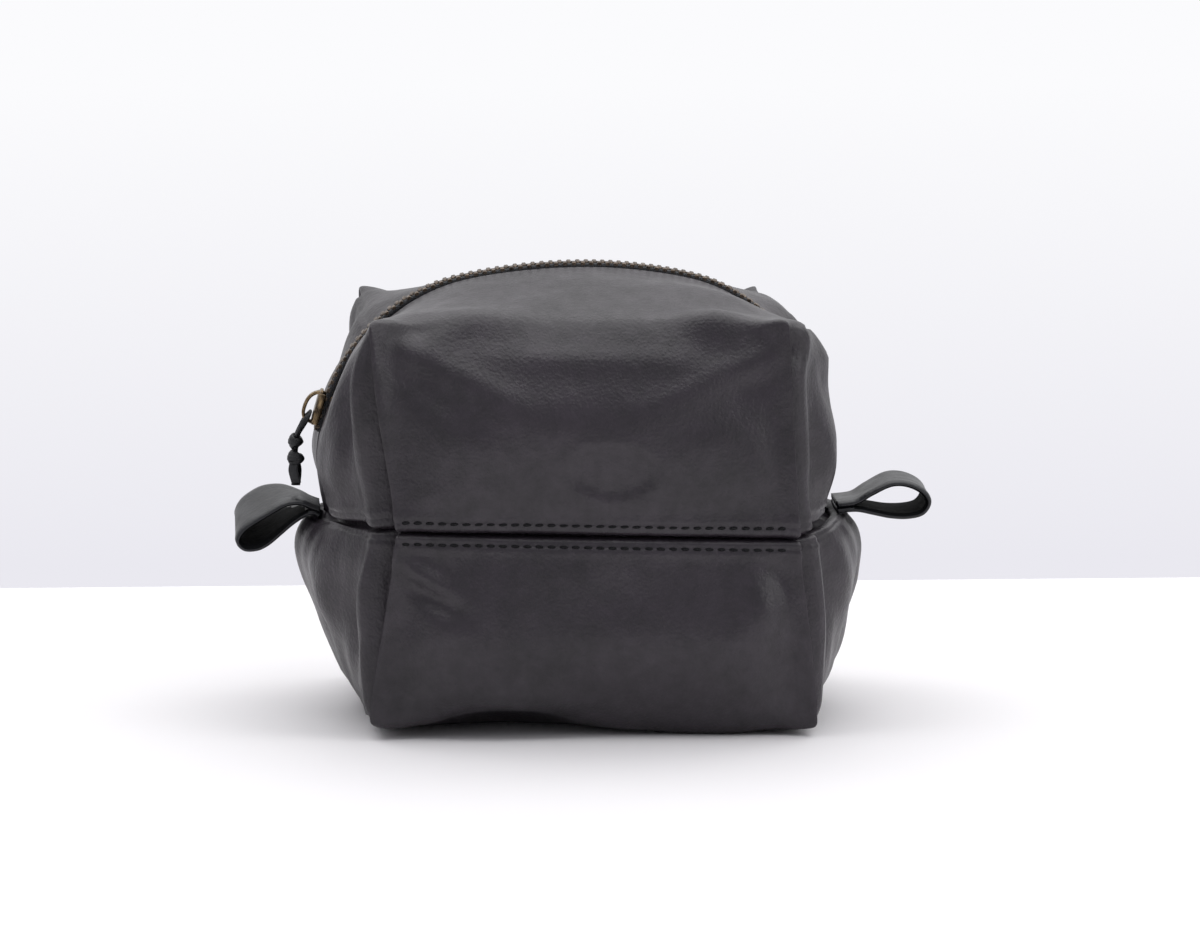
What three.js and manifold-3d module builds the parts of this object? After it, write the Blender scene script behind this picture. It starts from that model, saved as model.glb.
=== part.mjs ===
// A soft leather shaving kit bag: two upper panels and one base panel round a lined hollow, a metal zip over
// the crown with a slider and a knotted thong to pull it by, and a folded strap loop at each end.
// Millimetres. x runs along the zip, y from front (-) to back (+), z up from the surface it stands on.
import * as THREE from 'three';
import { mergeVertices } from 'three/addons/utils/BufferGeometryUtils.js';
import Module from 'manifold-3d';

const wasm = await Module();
wasm.setup();

const DEG = Math.PI / 180;
const GAP = 0.3; // between pieces that touch on the real bag
const MERGE_WITHIN = 1e-4; // corners closer than this are one corner

// The body of the bag
const HALF_DEPTH = 55;
const TOP_HALF_WIDTH = 56;
const SEAM_HALF_WIDTH = 55.8;
const BASE_HALF_WIDTH = 59.5;
const SEAM_Z = 57; // the seam that joins the upper panels to the base panel
const TOP_CORNER_Z = 113;
const TOP_EDGE_SAG = 3; // the long top edges hang between the corners
const TOP_EDGE_ROUND = 5; // and are rolled back towards the zip
const BASE_EDGE_ROUND = 4;
const ROLL_FROM = 0.6; // how far up or down a face the roll begins
const FACE_BULGE = 3.5;
const CROWN_FALL = 1.6; // exponents: how the shape falls from the middle plane to the front and back
const SIDE_FALL = 1.5;
const EDGE_LIFT = 1.2; // the underside rises towards the front, the ends and the corners
const END_LIFT = 1.0;
const CORNER_LIFT = 2.3;
const FLAT_PART = 0.5; // the middle half of the underside lies flat
// The middle of a lower end, from the seam round the bulge to the underside: [x, z]
const LOWER_END = [[74.6, 57], [79.4, 51.5], [80.3, 44], [77.5, 29], [71.5, 12], [60, END_LIFT]];

// Sheets, as depths below the outer skin
const LEATHER = [0, 1.6];
const TAPE = [1.9, 2.5];
const LINING = [2.8, 3.4];
const THREAD = [-0.85, -0.32];

// The zip lies on arcs that meet in line, listed from the crown outwards; the slider travels the second
const CROWN_Z = 125.5;
const ZIP_ARCS = [
  { radius: 159, turn: 12 * DEG },
  { radius: 53.2, turn: 61.7 * DEG },
  { radius: 61.4, turn: 26.3 * DEG },
];
const ARC_LENGTHS = ZIP_ARCS.map(({ radius, turn }) => radius * turn);
const TRAVEL_END = ARC_LENGTHS[0];
const SLIDER_AT = TRAVEL_END + ARC_LENGTHS[1];
const SEAM_AT = SLIDER_AT + ARC_LENGTHS[2];
const SHOULDER_AT = 64; // where the ends turn into the top

// Zip chain
const CHAIN_DEPTH = 1.0; // chain centre below the outer skin
const PITCH = 2.5;
const TOOTH = { length: 0.9, thickness: 2.2, reach: 0.9, rooted: 0.2 }; // reaches past the middle plane
const BEAD = { inner: 2.2, outer: 3.4, thickness: 1.5 };
const TAPE_EDGE = { inner: 3.7, outer: 9 };
const LEATHER_SLOT = 5.6; // half the gap between the leather edges
const LINING_SLOT = 7.5;
const LAST_TOOTH = SLIDER_AT + 2.7; // at the slider's end
const CHAIN_END = SLIDER_AT + 6.4;
const FAR_END = SLIDER_AT + 14; // at the closed end
const STOP = { length: 2.4, thickness: 2.6, reach: 0.8 };

// Strap loops
const STRAP_WIDTH = 20;
const STRAP_THICKNESS = 1.4;
const STRAP_STEPS = 28;
const TWIST = { from: 76, to: 91 }; // the distances from the middle of the bag over which a loop twists

function solidOf(geometry) {
  const bare = geometry.clone();
  for (const name of Object.keys(bare.attributes)) {
    if (name !== 'position') bare.deleteAttribute(name);
  }
  const merged = mergeVertices(bare, MERGE_WITHIN);
  return new wasm.Manifold(new wasm.Mesh({
    numProp: 3,
    vertProperties: new Float32Array(merged.attributes.position.array),
    triVerts: new Uint32Array(merged.index.array),
  }));
}

function geometryOf(solid) {
  const { vertProperties, triVerts } = solid.getMesh();
  const geometry = new THREE.BufferGeometry();
  geometry.setAttribute('position', new THREE.BufferAttribute(new Float32Array(vertProperties), 3));
  geometry.setIndex(new THREE.BufferAttribute(new Uint32Array(triVerts), 1));
  geometry.computeVertexNormals();
  return geometry;
}

function block(x0, x1, y0, y1, z0, z1) {
  const box = new THREE.BoxGeometry(x1 - x0, y1 - y0, z1 - z0);
  box.translate((x0 + x1) / 2, (y0 + y1) / 2, (z0 + z1) / 2);
  return solidOf(box);
}

const union = (solids) => solids.reduce((whole, solid) => whole.add(solid));
const mix = THREE.MathUtils.lerp;

// Place and slope of the zip's line at a distance s from the crown, + to the right; depth is below the skin
function zipFrame(s, depth = 0) {
  let x = 0;
  let z = CROWN_Z;
  let slope = 0;
  let left = Math.abs(s);
  for (const { radius, turn } of ZIP_ARCS) {
    const step = Math.min(left / radius, turn);
    x += radius * (Math.sin(slope + step) - Math.sin(slope));
    z += radius * (Math.cos(slope + step) - Math.cos(slope));
    slope += step;
    left -= step * radius;
  }
  x -= depth * Math.sin(slope);
  z -= depth * Math.cos(slope);
  const side = s < 0 ? -1 : 1;
  return { x: side * x, z, slope: side * slope };
}

// ---- The bag's skin: a box of cells whose corners move onto the bag's surface

const lowerEnd = new THREE.CatmullRomCurve3(LOWER_END.map(([x, z]) => new THREE.Vector3(x, 0, z)));
const rise = (t) => (Math.max(0, Math.abs(t) - FLAT_PART) / (1 - FLAT_PART)) ** 2;
const inward = (u) => 1 - u ** 4;

function undersideZ(u, v) {
  return EDGE_LIFT * rise(v) + END_LIFT * rise(u) + CORNER_LIFT * rise(u) * rise(v);
}

// Outline of the front and back faces, filled in across them
function faceOutline(u, w) {
  if (w >= 0) {
    const top = TOP_CORNER_Z - TOP_EDGE_SAG * (1 - u * u);
    return { x: u * mix(SEAM_HALF_WIDTH, TOP_HALF_WIDTH, w), z: mix(SEAM_Z, top, w) };
  }
  return { x: u * mix(SEAM_HALF_WIDTH, BASE_HALF_WIDTH, -w), z: mix(SEAM_Z, undersideZ(u, 1), -w) };
}

// Outline in the middle plane, along the zip and round under the bag
function middleOutline(u, w) {
  if (w === 1) return zipFrame(u * SHOULDER_AT);
  if (w === -1) return { x: u * LOWER_END.at(-1)[0], z: undersideZ(u, 0) };
  const side = Math.sign(u);
  if (w >= 0) return zipFrame(side * mix(SEAM_AT, SHOULDER_AT, w));
  const point = lowerEnd.getPoint(-w);
  return { x: side * point.x, z: point.z };
}

function skinPoint(u, v, w) {
  const face = faceOutline(u, w);
  const front = Math.sign(v);
  if (Math.abs(v) === 1) {
    const rolled = w > 0 ? TOP_EDGE_ROUND : BASE_EDGE_ROUND;
    const edge = Math.max(0, (Math.abs(w) - ROLL_FROM) / (1 - ROLL_FROM)) ** 2;
    const bulge = FACE_BULGE * (1 - u * u) * (1 - (2 * Math.abs(w) - 1) ** 2);
    return new THREE.Vector3(face.x, front * (HALF_DEPTH + bulge - rolled * inward(u) * edge), face.z);
  }
  const middle = middleOutline(u, w);
  const rolled = w === 1 ? TOP_EDGE_ROUND * inward(u) : w === -1 ? BASE_EDGE_ROUND * inward(u) : 0;
  const fall = Math.abs(v) ** (w === 1 ? CROWN_FALL : SIDE_FALL);
  const z = w === -1 ? undersideZ(u, v) : mix(middle.z, face.z, fall);
  return new THREE.Vector3(mix(middle.x, face.x, fall), v * (HALF_DEPTH - rolled), z);
}

function skinGrid(cells) {
  const grid = new THREE.BoxGeometry(2, 2, 2, cells, cells, cells);
  grid.deleteAttribute('uv');
  grid.deleteAttribute('normal');
  const merged = mergeVertices(grid, MERGE_WITHIN);
  const corners = merged.attributes.position;
  const whole = (t) => Math.round(t * cells / 2) / (cells / 2);
  for (let i = 0; i < corners.count; i += 1) {
    const point = skinPoint(whole(corners.getX(i)), whole(corners.getY(i)), whole(corners.getZ(i)));
    corners.setXYZ(i, point.x, point.y, point.z);
  }
  merged.computeVertexNormals();
  return merged;
}

const LEATHER_CELLS = 12;
const LINING_CELLS = 8;

function skin(depth, cells) {
  const moved = skinGrid(cells);
  const corners = moved.attributes.position;
  const normals = moved.attributes.normal;
  for (let i = 0; i < corners.count; i += 1) {
    corners.setXYZ(
      i,
      corners.getX(i) - depth * normals.getX(i),
      corners.getY(i) - depth * normals.getY(i),
      corners.getZ(i) - depth * normals.getZ(i),
    );
  }
  return solidOf(moved);
}

const sheet = ([outer, inner], cells = LEATHER_CELLS) => skin(outer, cells).subtract(skin(inner, cells));

const FAR = 150; // past the bag on every side
const aboveSeam = SEAM_Z + GAP / 2;
const belowSeam = SEAM_Z - GAP / 2;
// The strip on one side of the middle plane, between two distances from it; side is -1 front, +1 back
function strip(side, near, far, z0, z1) {
  return side < 0 ? block(-FAR, FAR, -far, -near, z0, z1) : block(-FAR, FAR, near, far, z0, z1);
}

const leather = sheet(LEATHER);
const upperPanel = (side) => leather.intersect(strip(side, LEATHER_SLOT, FAR, aboveSeam, FAR));
const basePanel = () => leather.intersect(block(-FAR, FAR, -FAR, FAR, -FAR, belowSeam));

const tapeSheet = sheet(TAPE);
const tape = (side) => tapeSheet.intersect(strip(side, TAPE_EDGE.inner, TAPE_EDGE.outer, aboveSeam, FAR));

const liningSheet = sheet(LINING, LINING_CELLS);
function lining(side) {
  const half = liningSheet.intersect(strip(side, GAP / 2, FAR, -FAR, FAR));
  return half.subtract(block(-FAR, FAR, -LINING_SLOT, LINING_SLOT, SEAM_Z, FAR));
}

const STITCH_HEIGHT = 0.6;
const STITCH_OFFSET = { upper: 2.7, lower: -2.3 };
const STITCH_HALF_LENGTH = 53;
const FACES_FROM = 40; // nothing but the front and back faces lies further from the middle plane than this
const threadSheet = sheet(THREAD);
function stitchRow(side, offset) {
  const z = SEAM_Z + offset;
  const half = STITCH_HEIGHT / 2;
  const row = threadSheet.intersect(strip(side, FACES_FROM, FAR, z - half, z + half));
  return row.intersect(block(-STITCH_HALF_LENGTH, STITCH_HALF_LENGTH, -FAR, FAR, 0, FAR));
}

// ---- Zip

// A ribbon that follows the chain from s0 to s1, between two distances on one side of the middle plane
function chainRibbon(side, s0, s1, near, far, thickness) {
  const steps = Math.max(1, Math.ceil(Math.abs(s1 - s0) / (2 * PITCH)));
  const edge = (depth) => Array.from({ length: steps + 1 }, (_, i) => {
    const { x, z } = zipFrame(mix(s0, s1, i / steps), depth);
    return new THREE.Vector2(x, z);
  });
  const outline = [...edge(CHAIN_DEPTH - thickness / 2), ...edge(CHAIN_DEPTH + thickness / 2).reverse()];
  const ribbon = new THREE.ExtrudeGeometry(new THREE.Shape(outline), {
    depth: far - near, bevelEnabled: false, steps: 1,
  });
  ribbon.rotateX(Math.PI / 2); // the outline stands in the xz plane and runs from y = 0 to -(far - near)
  ribbon.translate(0, side < 0 ? -near : far, 0);
  return solidOf(ribbon);
}

function tooth(side, s) {
  const { x, z, slope } = zipFrame(s, CHAIN_DEPTH);
  const width = TOOTH.reach + BEAD.inner + TOOTH.rooted;
  const geometry = new THREE.BoxGeometry(TOOTH.length, width, TOOTH.thickness);
  geometry.translate(0, side * (width / 2 - TOOTH.reach), 0);
  geometry.rotateY(slope);
  geometry.translate(x, 0, z);
  return solidOf(geometry);
}

// Teeth stand at whole pitches in front and half way between them at the back, so that they mesh
function teethRow(side, s0, s1, bead0, bead1) {
  const shift = side < 0 ? 0 : PITCH / 2;
  const pieces = [chainRibbon(side, bead0, bead1, BEAD.inner, BEAD.outer, BEAD.thickness)];
  for (let k = Math.ceil((s0 - shift) / PITCH); k * PITCH + shift <= s1; k += 1) {
    pieces.push(tooth(side, k * PITCH + shift));
  }
  return union(pieces);
}

const ROW_SPLIT = -TRAVEL_END + 2.2; // the teeth left of this part as the slider runs up
const BARE_END = 0.8; // of a bead, with no tooth on it
const openingRow = (side) => (
  teethRow(side, -LAST_TOOTH, ROW_SPLIT - BARE_END, -CHAIN_END, ROW_SPLIT - GAP / 2));
const closedRow = (side) => (
  teethRow(side, ROW_SPLIT + BARE_END, FAR_END - BARE_END, ROW_SPLIT + GAP / 2, FAR_END));

function topStop(side) {
  const start = -CHAIN_END - GAP;
  return chainRibbon(side, start - STOP.length, start, BEAD.inner - STOP.reach, BEAD.outer, STOP.thickness);
}

function bottomStop() {
  const start = FAR_END + GAP;
  const half = (side) => chainRibbon(side, start, start + STOP.length, 0, BEAD.outer, STOP.thickness);
  return union([half(-1), half(1)]);
}

// The slider, in its own frame: x up the chain, y across it, z outwards
const SLIDER = {
  halfLength: 5.2, mouthHalfWidth: 4.6, tailHalfWidth: 4.3, corner: 1.2,
  plate: [1.4, 2.4], flangeFrom: 0.55, flangeInner: 3.8,
  underPlate: [-2.6, -1.6], underHalfLength: 4.4, underHalfWidth: 3.3,
  post: [-4.4, -3.3], postHalfWidth: 0.5, postRooted: 0.2,
};

function sliderPlate(halfLength, mouthHalf, tailHalf, [z0, z1]) {
  const r = SLIDER.corner;
  const outline = new THREE.Shape();
  outline.absarc(r - halfLength, r - mouthHalf, r, Math.PI, 1.5 * Math.PI, false);
  outline.absarc(halfLength - r, r - tailHalf, r, 1.5 * Math.PI, 2 * Math.PI, false);
  outline.absarc(halfLength - r, tailHalf - r, r, 0, 0.5 * Math.PI, false);
  outline.absarc(r - halfLength, mouthHalf - r, r, 0.5 * Math.PI, Math.PI, false);
  const plate = new THREE.ExtrudeGeometry(outline, {
    depth: z1 - z0, bevelEnabled: false, curveSegments: 4,
  });
  plate.translate(0, 0, z0);
  return solidOf(plate);
}

function sliderBody() {
  const { halfLength, mouthHalfWidth, tailHalfWidth, plate, flangeFrom, flangeInner } = SLIDER;
  const { underPlate, underHalfLength, underHalfWidth, post, postHalfWidth, postRooted } = SLIDER;
  const cover = sliderPlate(halfLength, mouthHalfWidth, tailHalfWidth, [flangeFrom, plate[1]])
    .subtract(block(-2 * halfLength, 2 * halfLength, -flangeInner, flangeInner, 0, plate[0]));
  const under = sliderPlate(underHalfLength, underHalfWidth, underHalfWidth, underPlate);
  const between = [underPlate[0] + postRooted, plate[1] - postRooted];
  return union([cover, under, block(...post, -postHalfWidth, postHalfWidth, ...between)]);
}

// The bridge over the slider: legs at both ends and an open eye that the thong passes through
const BRIDGE = {
  halfLength: 4.2, halfWidth: 1.2, foot: SLIDER.plate[1] + GAP, eyeTop: 4.7, top: 5.6, leg: 0.9,
  corner: 1.6, eyeCorner: 0.6,
};

function sliderBridge() {
  const { halfLength: h, foot, eyeTop, top, leg, corner: r, eyeCorner: cut } = BRIDGE;
  const outline = new THREE.Shape();
  outline.moveTo(-h, foot);
  outline.lineTo(-h + leg, foot);
  outline.lineTo(-h + leg, eyeTop - cut);
  outline.lineTo(-h + leg + cut, eyeTop);
  outline.lineTo(h - leg - cut, eyeTop);
  outline.lineTo(h - leg, eyeTop - cut);
  outline.lineTo(h - leg, foot);
  outline.lineTo(h, foot);
  outline.lineTo(h, top - r);
  outline.absarc(h - r, top - r, r, 0, Math.PI / 2, false);
  outline.lineTo(-h + r, top);
  outline.absarc(-h + r, top - r, r, Math.PI / 2, Math.PI, false);
  const geometry = new THREE.ExtrudeGeometry(outline, {
    depth: 2 * BRIDGE.halfWidth, bevelEnabled: false, curveSegments: 5,
  });
  geometry.rotateX(Math.PI / 2);
  geometry.translate(0, BRIDGE.halfWidth, 0);
  return solidOf(geometry);
}

// The thong, in a frame at the eye that stays upright: a loop through the eye, a double knot and two tails
const EYE = { x: -2.3, z: 3.6 };
const CORD_RADIUS = 0.7;
const KNOT_HALF_SIZE = [1.8, 2.3, 2.5];
const KNOTS = [[-3.9, -7.9], [-3.9, -12.6]];
// Both tails lie side by side as one flat strip, a little wider at its end
const TAILS = { x: -3.7, from: -12.6, to: -20.6, thickness: 1.6, topHalfWidth: 1.6, endHalfWidth: 2.1 };

function pullThong() {
  const leg = (side) => [
    new THREE.Vector3(-3.6, side * 0.9, -7.2), new THREE.Vector3(-1.9, side * 2.05, -3.6),
    new THREE.Vector3(-0.45, side * 2.15, -0.9), new THREE.Vector3(0, side * 1.4, 0),
  ];
  const route = new THREE.CatmullRomCurve3([...leg(-1), ...leg(1).reverse()]);
  const section = new THREE.Shape().absarc(0, 0, CORD_RADIUS, 0, 2 * Math.PI, false);
  const loop = new THREE.ExtrudeGeometry(section, { steps: 16, curveSegments: 4, extrudePath: route });
  const knots = KNOTS.map(([x, z]) => {
    const ball = new THREE.SphereGeometry(1, 10, 6);
    ball.scale(...KNOT_HALF_SIZE);
    ball.translate(x, 0, z);
    return solidOf(ball);
  });
  const flat = new THREE.Shape();
  flat.moveTo(-TAILS.topHalfWidth, TAILS.from);
  flat.lineTo(-TAILS.endHalfWidth, TAILS.to);
  flat.lineTo(TAILS.endHalfWidth, TAILS.to);
  flat.lineTo(TAILS.topHalfWidth, TAILS.from);
  const tails = new THREE.ExtrudeGeometry(flat, { depth: TAILS.thickness, bevelEnabled: false });
  tails.rotateX(Math.PI / 2);
  tails.rotateZ(Math.PI / 2); // the strip stands across the chain, with its thickness along it
  tails.translate(TAILS.x - TAILS.thickness / 2, 0, 0);
  return union([solidOf(loop), ...knots, solidOf(tails)]);
}

// ---- Strap loops: a strap folded back on itself, both ends at the end seam

const RIGHT_LOOP = [
  [75.9, 58.3], [80, 60.7], [85.5, 63.4], [90.2, 63.4], [94.4, 61.4], [96.1, 58.4],
  [94.3, 55.5], [90.3, 54.5], [85.5, 54.6], [80.5, 55.5], [75.9, 56.6],
];
const LEFT_LOOP = [
  [-75.9, 58.4], [-79, 59.7], [-83, 60.2], [-87, 59.2], [-91, 57.4], [-94.6, 54.8], [-96.1, 51.8],
  [-94.4, 49.7], [-91.3, 49.6], [-88, 50.7], [-84.5, 52.7], [-80.5, 54.9], [-75.9, 56.7],
];

function strapLoop(points, twist) {
  const route = new THREE.SplineCurve(points.map(([x, z]) => new THREE.Vector2(x, z)));
  const edge = (offset) => route.getSpacedPoints(STRAP_STEPS).map((point, i) => {
    const tangent = route.getTangentAt(i / STRAP_STEPS);
    return new THREE.Vector2(point.x - offset * tangent.y, point.y + offset * tangent.x);
  });
  const half = STRAP_THICKNESS / 2;
  const outline = new THREE.Shape([...edge(half), ...edge(-half).reverse()]);
  const geometry = new THREE.ExtrudeGeometry(outline, { depth: STRAP_WIDTH, bevelEnabled: false });
  geometry.rotateX(Math.PI / 2);
  geometry.translate(0, STRAP_WIDTH / 2, 0);
  const corners = geometry.attributes.position;
  for (let i = 0; i < corners.count; i += 1) {
    const along = THREE.MathUtils.smoothstep(Math.abs(corners.getX(i)), TWIST.from, TWIST.to);
    corners.setZ(i, corners.getZ(i) + corners.getY(i) * Math.tan(twist * along));
  }
  return solidOf(geometry);
}

// ---- The scene graph

const finishes = {
  leather: { color: '#2c2b2f', roughness: 0.55, metalness: 0 },
  strap: { color: '#323136', roughness: 0.5, metalness: 0 },
  lining: { color: '#26262b', roughness: 0.9, metalness: 0 },
  tape: { color: '#1f1f22', roughness: 0.85, metalness: 0 },
  thread: { color: '#15161b', roughness: 0.7, metalness: 0 },
  teeth: { color: '#7d6a52', roughness: 0.35, metalness: 1 },
  slider: { color: '#5a4a34', roughness: 0.35, metalness: 1 },
  thong: { color: '#1d1b1a', roughness: 0.7, metalness: 0 },
};

function piece(name, solid, finish) {
  const mesh = new THREE.Mesh(geometryOf(solid), new THREE.MeshStandardMaterial(finishes[finish]));
  mesh.name = name;
  return mesh;
}

const bag = new THREE.Group();
for (const [end, side] of [['front', -1], ['back', 1]]) {
  bag.add(piece(`${end}_upper_panel`, upperPanel(side), 'leather'));
  bag.add(piece(`lining_${end}`, lining(side), 'lining'));
  bag.add(piece(`${end}_stitch_upper`, stitchRow(side, STITCH_OFFSET.upper), 'thread'));
  bag.add(piece(`${end}_stitch_lower`, stitchRow(side, STITCH_OFFSET.lower), 'thread'));
  bag.add(piece(`zip_tape_${end}`, tape(side), 'tape'));
  bag.add(piece(`zip_teeth_${end}`, openingRow(side), 'teeth'));
  bag.add(piece(`zip_teeth_${end}_far`, closedRow(side), 'teeth'));
  bag.add(piece(`zip_top_stop_${end}`, topStop(side), 'teeth'));
}
bag.add(piece('bottom_panel', basePanel(), 'leather'));
bag.add(piece('zip_bottom_stop', bottomStop(), 'teeth'));
bag.add(piece('left_loop', strapLoop(LEFT_LOOP, 17 * DEG), 'strap'));
bag.add(piece('right_loop', strapLoop(RIGHT_LOOP, 2 * DEG), 'strap'));

const slider = new THREE.Group();
const home = zipFrame(-SLIDER_AT, CHAIN_DEPTH);
slider.position.set(home.x, 0, home.z);
slider.rotation.y = home.slope;
slider.add(piece('slider_body', sliderBody(), 'slider'));
slider.add(piece('slider_bridge', sliderBridge(), 'slider'));
const pull = piece('pull_thong', pullThong(), 'thong');
pull.position.set(EYE.x, 0, EYE.z);
pull.rotation.y = -home.slope;
slider.add(pull);
bag.add(slider);

export default bag;
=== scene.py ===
"""A black leather shaving kit bag: boxed soft panels, a brass zip over the crown, strap loops and a pull."""
import math

import bmesh
import bpy
from mathutils import Euler, Matrix, Vector, noise
from mathutils.bvhtree import BVHTree


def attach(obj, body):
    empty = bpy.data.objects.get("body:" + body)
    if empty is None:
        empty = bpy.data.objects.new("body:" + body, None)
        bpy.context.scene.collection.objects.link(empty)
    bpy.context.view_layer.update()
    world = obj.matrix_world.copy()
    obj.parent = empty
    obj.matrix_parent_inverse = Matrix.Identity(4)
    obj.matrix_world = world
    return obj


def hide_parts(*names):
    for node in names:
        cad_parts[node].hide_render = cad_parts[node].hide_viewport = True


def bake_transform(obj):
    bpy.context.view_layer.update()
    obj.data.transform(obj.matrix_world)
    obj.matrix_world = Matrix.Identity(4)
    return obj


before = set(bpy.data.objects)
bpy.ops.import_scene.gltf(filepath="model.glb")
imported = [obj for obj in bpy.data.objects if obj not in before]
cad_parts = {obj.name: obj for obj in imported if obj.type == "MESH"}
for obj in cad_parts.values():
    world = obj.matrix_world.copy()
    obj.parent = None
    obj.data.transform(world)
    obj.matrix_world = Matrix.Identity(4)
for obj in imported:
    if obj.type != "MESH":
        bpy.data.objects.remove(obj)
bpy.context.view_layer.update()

MM = 0.001


def lerp(a, b, t):
    return a + (b - a) * t


def bell(distance, width):
    """1 at no distance, falling smoothly to nothing a few widths away."""
    return math.exp(-((distance / width) ** 2))


def ramp(value, low, high):
    t = min(1.0, max(0.0, (value - low) / (high - low)))
    return t * t * (3 - 2 * t)


# ---- The zip's line: arcs that meet in line, from the crown outwards (millimetres, degrees)

CROWN_Z = 125.5
ZIP_ARCS = ((159, 12), (53.2, 61.7), (61.4, 26.3))
ARC_LENGTHS = [radius * math.radians(turn) for radius, turn in ZIP_ARCS]
TRAVEL_END = ARC_LENGTHS[0]
SLIDER_AT = TRAVEL_END + ARC_LENGTHS[1]
SEAM_AT = SLIDER_AT + ARC_LENGTHS[2]
SHOULDER_AT = 64
CHAIN_DEPTH = 1.0
RIGHT_PULLED_IN = 0.915  # the right end stands a little nearer the middle than the left


def zip_line(s, depth=0.0):
    """(x, z, slope) on the zip at s from the crown, + to the right, at a depth below the skin."""
    x, z, slope, left = 0.0, CROWN_Z, 0.0, abs(s)
    for radius, turn in ZIP_ARCS:
        step = min(left / radius, math.radians(turn))
        x += radius * (math.sin(slope + step) - math.sin(slope))
        z += radius * (math.cos(slope + step) - math.cos(slope))
        slope += step
        left -= step * radius
        if left <= 1e-9:
            break
    x -= depth * math.sin(slope)
    z -= depth * math.cos(slope)
    if s < 0:
        return -x, z, -slope
    return x * RIGHT_PULLED_IN, z, slope


# ---- The bag's skin, as a function on a cube (u along the zip, v front to back, w up), in millimetres

HALF_DEPTH = 55
SEAM_Z = 56
TOP_CORNER_Z = 116.4
TOP_SHIFT = -4.8  # the top corners lean to the left
BACK_TOP_DROP = 2.0
TOP_DIP = 3.5  # the long top edges hang lower in the middle than at their corners
TOP_HALF_WIDTH = 58.2
LEFT_TOP_IN = 1.5
SEAM_HALF_WIDTH = 55.6
LEFT_SEAM_IN = 2.6
SEAM_TILT = 1.4  # the front seam is lower at the right by this much each side of its middle
BASE_HALF_WIDTH = 62
BASE_LEFT, BASE_RIGHT = 60, 61  # the underside's ends in the middle plane
FLAT_PART = 0.45
TOP_ROLL = 10
BASE_ROLL = 5.0
LEAST_HEIGHT = 0.05  # the underside never goes below this
LEFT_END = ((75.4, 56), (79.3, 52.5), (80.4, 46), (78.2, 38), (74.6, 29), (70.5, 18), (64.5, 6),
            (BASE_LEFT, 1.2))
RIGHT_END = ((71.8, 56), (76.2, 52.5), (78.2, 46), (76.8, 38), (75, 30), (71.8, 18), (66, 6),
             (BASE_RIGHT, 1.2))


def along(points, t):
    """A smooth curve through points, t from 0 to 1."""
    place = min(max(t, 0.0), 0.99999) * (len(points) - 1)
    i = int(place)
    f = place - i
    p = [Vector(points[min(max(i + k, 0), len(points) - 1)]) for k in (-1, 0, 1, 2)]
    return 0.5 * (2 * p[1] + (p[2] - p[0]) * f + (2 * p[0] - 5 * p[1] + 4 * p[2] - p[3]) * f * f
                  + (3 * p[1] - p[0] - 3 * p[2] + p[3]) * f ** 3)


def rise(t):
    """0 over the flat part round the middle, climbing to 1 at the edge."""
    return (max(0.0, abs(t) - FLAT_PART) / (1 - FLAT_PART)) ** 2


def underside_z(u, v):
    """The underside's height: its edges stand a little off the table, and the front left one more."""
    corner = 1.7 if u < 0 else -0.9
    lifted = 7.5 * bell(u + 0.42, 0.3) if v < 0 else 0.0
    return (0.9 + lifted) * rise(v) + 1.0 * rise(u) + corner * rise(u) * rise(v)


def face_outline(u, w, front):
    """Where the front (or back) face's outline puts u, w."""
    seam_z = SEAM_Z - SEAM_TILT * u * front
    seam_x = u * (SEAM_HALF_WIDTH if u > 0 else SEAM_HALF_WIDTH - LEFT_SEAM_IN)
    if w >= 0:
        top = TOP_CORNER_Z - TOP_DIP * (1 - u * u) - BACK_TOP_DROP * (1 - front)
        top_x = u * (TOP_HALF_WIDTH if u > 0 else TOP_HALF_WIDTH - LEFT_TOP_IN) + TOP_SHIFT
        return Vector((lerp(seam_x, top_x, w), lerp(seam_z, top, w)))
    return Vector((lerp(seam_x, u * BASE_HALF_WIDTH, -w), lerp(seam_z, underside_z(u, 1), -w)))


def middle_outline(u, w):
    """The outline in the middle plane: along the zip, down the ends and along the underside."""
    if w >= 1:
        x, z, _ = zip_line(u * SHOULDER_AT)
        return Vector((x, z))
    if w <= -1:
        return Vector((u * (BASE_LEFT if u < 0 else BASE_RIGHT), underside_z(u, 0)))
    side = math.copysign(1, u)
    if w >= 0:
        x, z, _ = zip_line(side * lerp(SEAM_AT, SHOULDER_AT, w))
        return Vector((x, z))
    point = along(LEFT_END if side < 0 else RIGHT_END, -w)
    return Vector((side * point.x, point.y))


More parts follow.
